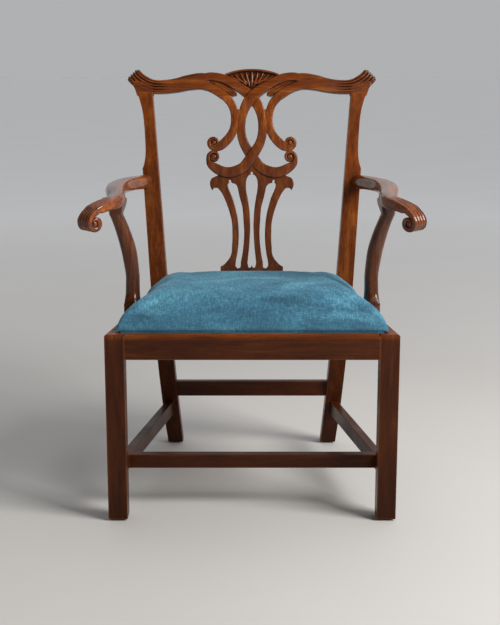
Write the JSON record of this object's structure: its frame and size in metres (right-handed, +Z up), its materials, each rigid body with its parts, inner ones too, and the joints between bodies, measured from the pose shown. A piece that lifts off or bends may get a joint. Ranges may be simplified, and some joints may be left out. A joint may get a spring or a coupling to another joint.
{
  "type": "open armchair",
  "caption": "Wooden open armchair with a pierced interlaced splat, serpentine crest, scrolled arms, square legs with stretchers and a lift-out upholstered seat.",
  "frame": {"origin": "on the floor, under the middle of the chair's bounding box", "axes": "+Z up, -Y the way the sitter faces, +X the right-hand side as seen from the front"},
  "size_m": [0.754, 0.568, 0.9535],
  "materials": {
    "mahogany": "waxed and polished old mahogany, warm red-brown with a satin patina",
    "beech": "plain unpolished beech",
    "seat_velvet": "teal-blue slubbed velvet with a soft pile",
    "webbing": "herringbone jute webbing",
    "hessian": "open plain-weave hessian",
    "stuffing": "hair stuffing under calico",
    "screw_steel": "dull steel wood screw",
    "tack_steel": "blued steel upholstery tack",
    "felt": "dark felt"
  },
  "bodies": {
    "chair_frame": {"front_leg_left": "mahogany", "front_leg_right": "mahogany", "back_post_left": "mahogany", "back_post_right": "mahogany", "front_seat_rail": "mahogany", "rear_seat_rail": "mahogany", "side_seat_rail_left": "mahogany", "side_seat_rail_right": "mahogany", "splat_shoe": "mahogany", "splat": "mahogany", "crest_rail": "mahogany", "arm_left": "mahogany", "arm_right": "mahogany", "arm_support_left": "mahogany", "arm_support_right": "mahogany", "side_stretcher_left": "mahogany", "side_stretcher_right": "mahogany", "cross_stretcher": "mahogany", "rear_stretcher": "mahogany", "corner_brace_front_left": "beech", "corner_brace_front_right": "beech", "corner_block_rear_left": "beech", "corner_block_rear_right": "beech", "arm_screws": "screw_steel", "arm_screw_plugs": "mahogany", "arm_support_screws": "screw_steel", "foot_pads": "felt"},
    "drop_in_seat": {"seat_frame_front": "beech", "seat_frame_rear": "beech", "seat_frame_left": "beech", "seat_frame_right": "beech", "seat_webbing": "webbing", "seat_hessian": "hessian", "seat_stuffing": "stuffing", "seat_cover": "seat_velvet", "cover_tacks": "tack_steel", "webbing_tacks": "tack_steel"}
  },
  "joints": [
    {"name": "seat_lift", "type": "slide", "parent": "chair_frame", "child": "drop_in_seat", "axis": [0, 0, 1], "range_m": [0, 0.33]}
  ]
}
